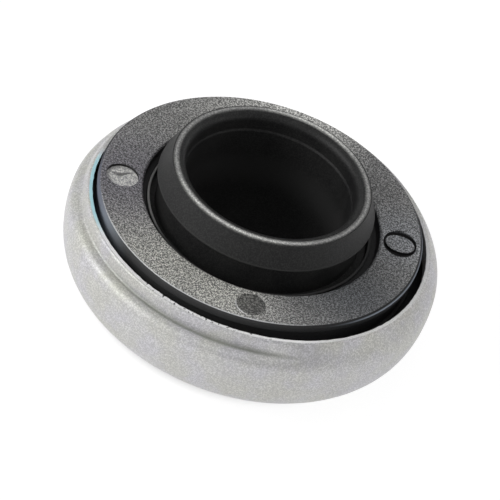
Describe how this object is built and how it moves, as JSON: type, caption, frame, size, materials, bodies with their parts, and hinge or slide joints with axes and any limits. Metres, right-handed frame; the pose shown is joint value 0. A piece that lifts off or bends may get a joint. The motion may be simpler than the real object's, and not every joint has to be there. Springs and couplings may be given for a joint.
{
  "type": "strut mount bearing",
  "caption": "Sealed ball thrust bearing for a strut top: pressed steel shell, flat black cover ring and a flared black centre sleeve with a through bore.",
  "frame": {"origin": "centre of the shell's flat bottom, on the axis", "axes": "+Z along the bearing's axis, from the steel shell towards the collar"},
  "size_m": [0.077, 0.077, 0.0318],
  "materials": {
    "shell_steel": "satin zinc coat, raw bright edge on the lip",
    "race_steel": "ground and hardened",
    "ball_steel": "polished",
    "cover_plastic": "fine sand-grain moulded face",
    "sleeve_plastic": "smooth satin",
    "cage_plastic": "natural polyamide",
    "seal_rubber": "smooth"
  },
  "bodies": {
    "housing": {"steel_shell": "shell_steel", "lower_race": "race_steel"},
    "top_unit": {"cover_ring": "cover_plastic", "center_sleeve": "sleeve_plastic", "upper_race": "race_steel", "outer_seal": "seal_rubber", "inner_seal": "seal_rubber"},
    "ball_set": {"ball_cage": "cage_plastic", "ball_01": "ball_steel", "ball_02": "ball_steel", "ball_03": "ball_steel", "ball_04": "ball_steel", "ball_05": "ball_steel", "ball_06": "ball_steel", "ball_07": "ball_steel", "ball_08": "ball_steel", "ball_09": "ball_steel", "ball_10": "ball_steel", "ball_11": "ball_steel", "ball_12": "ball_steel", "ball_13": "ball_steel", "ball_14": "ball_steel", "ball_15": "ball_steel", "ball_16": "ball_steel", "ball_17": "ball_steel", "ball_18": "ball_steel", "ball_19": "ball_steel", "ball_20": "ball_steel", "ball_21": "ball_steel", "ball_22": "ball_steel", "ball_23": "ball_steel", "ball_24": "ball_steel"}
  },
  "joints": [
    {"name": "top_turn", "type": "hinge", "parent": "housing", "child": "top_unit", "pos_m": [0, 0, 0.00565], "axis": [0, 0, 1], "continuous": true},
    {"name": "cage_turn", "type": "hinge", "parent": "housing", "child": "ball_set", "pos_m": [0, 0, 0.00565], "axis": [0, 0, 1], "continuous": true}
  ],
  "couplings": [
    {"joint": "cage_turn", "follows": "top_turn", "ratio": 0.5}
  ]
}
